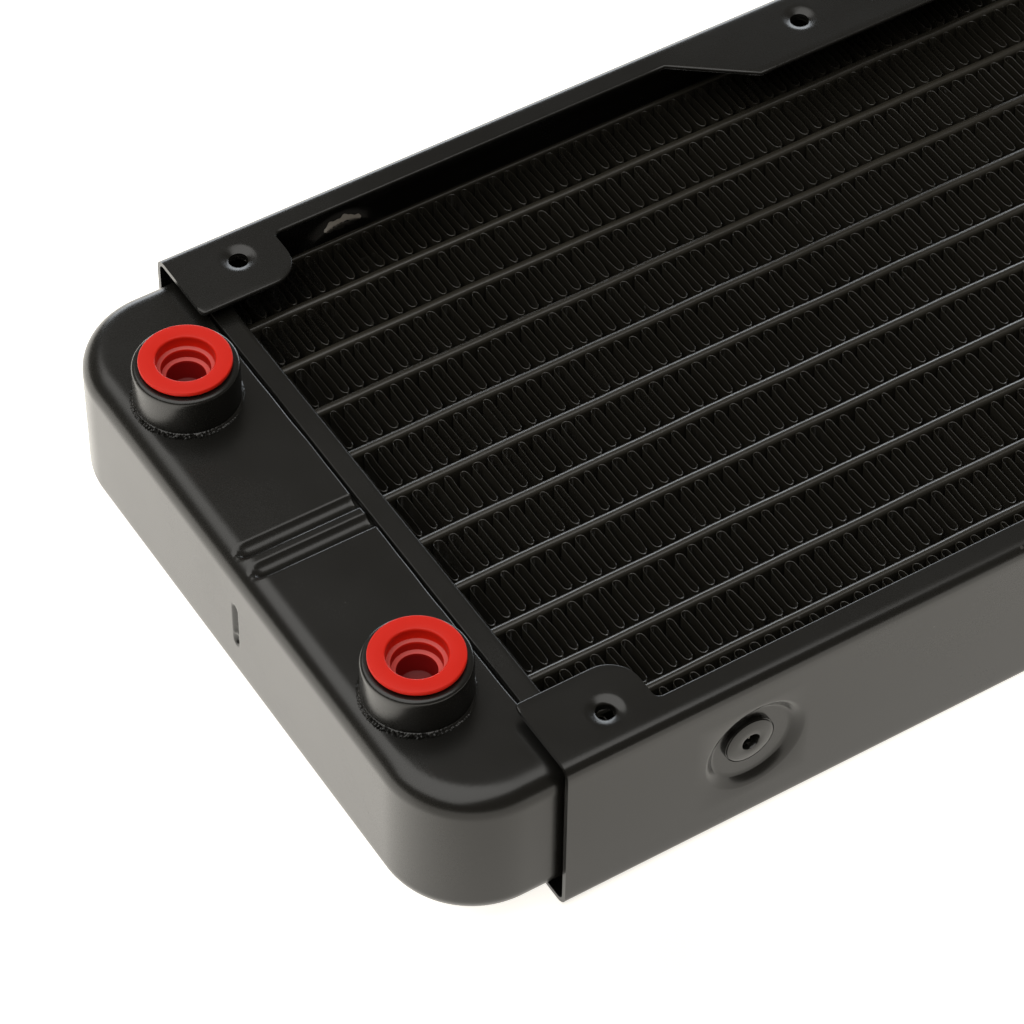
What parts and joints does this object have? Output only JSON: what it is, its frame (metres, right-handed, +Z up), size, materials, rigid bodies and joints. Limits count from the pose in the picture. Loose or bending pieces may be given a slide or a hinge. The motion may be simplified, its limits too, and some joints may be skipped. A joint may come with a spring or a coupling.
{
  "type": "liquid cooling radiator",
  "caption": "Flat black liquid cooling radiator with a tube and fin core, two tanks, folded side panels with screw tabs, and two threaded ports closed by red pull-out plugs.",
  "frame": {"origin": "centre of the footprint on the plane that the lower side panel flanges rest on", "axes": "+Z up, out of the side that carries the ports; +X along the length from the port tank towards the return tank; +Y across the width"},
  "size_m": [0.275, 0.1186, 0.037],
  "materials": {
    "black_paint": "satin black powder coat over pressed and folded sheet",
    "black_core_paint": "thin satin black spray over brazed tubes and foil fins",
    "red_plug_plastic": "semi-gloss moulded soft plastic",
    "bare_aluminium": "bare drawn wire, snapped end"
  },
  "bodies": {
    "radiator": {"port_tank": "black_paint", "return_tank": "black_paint", "port_header_plate": "black_paint", "return_header_plate": "black_paint", "side_panel_right": "black_paint", "side_panel_left": "black_paint", "port_collar_right": "black_paint", "port_collar_left": "black_paint", "rivet_right_port": "black_paint", "rivet_right_return": "black_paint", "rivet_left_port": "black_paint", "rivet_left_return": "black_paint", "flat_tube_01": "black_core_paint", "flat_tube_02": "black_core_paint", "flat_tube_03": "black_core_paint", "flat_tube_04": "black_core_paint", "flat_tube_05": "black_core_paint", "flat_tube_06": "black_core_paint", "flat_tube_07": "black_core_paint", "flat_tube_08": "black_core_paint", "flat_tube_09": "black_core_paint", "flat_tube_10": "black_core_paint", "fin_strip_01": "black_core_paint", "fin_strip_02": "black_core_paint", "fin_strip_03": "black_core_paint", "fin_strip_04": "black_core_paint", "fin_strip_05": "black_core_paint", "fin_strip_06": "black_core_paint", "fin_strip_07": "black_core_paint", "fin_strip_08": "black_core_paint", "fin_strip_09": "black_core_paint", "fin_strip_10": "black_core_paint", "fin_strip_11": "black_core_paint", "core_side_plate_right": "black_core_paint", "core_side_plate_left": "black_core_paint", "tank_baffle": "black_core_paint", "rivet_mandrel_right_port": "bare_aluminium", "rivet_mandrel_right_return": "bare_aluminium", "rivet_mandrel_left_port": "bare_aluminium", "rivet_mandrel_left_return": "bare_aluminium"},
    "right_plug": {"port_plug_right": "red_plug_plastic"},
    "left_plug": {"port_plug_left": "red_plug_plastic"}
  },
  "joints": [
    {"name": "right_plug_pull", "type": "slide", "parent": "radiator", "child": "right_plug", "axis": [0, 0, 1], "range_m": [0, 0.02]},
    {"name": "left_plug_pull", "type": "slide", "parent": "radiator", "child": "left_plug", "axis": [0, 0, 1], "range_m": [0, 0.02]}
  ]
}
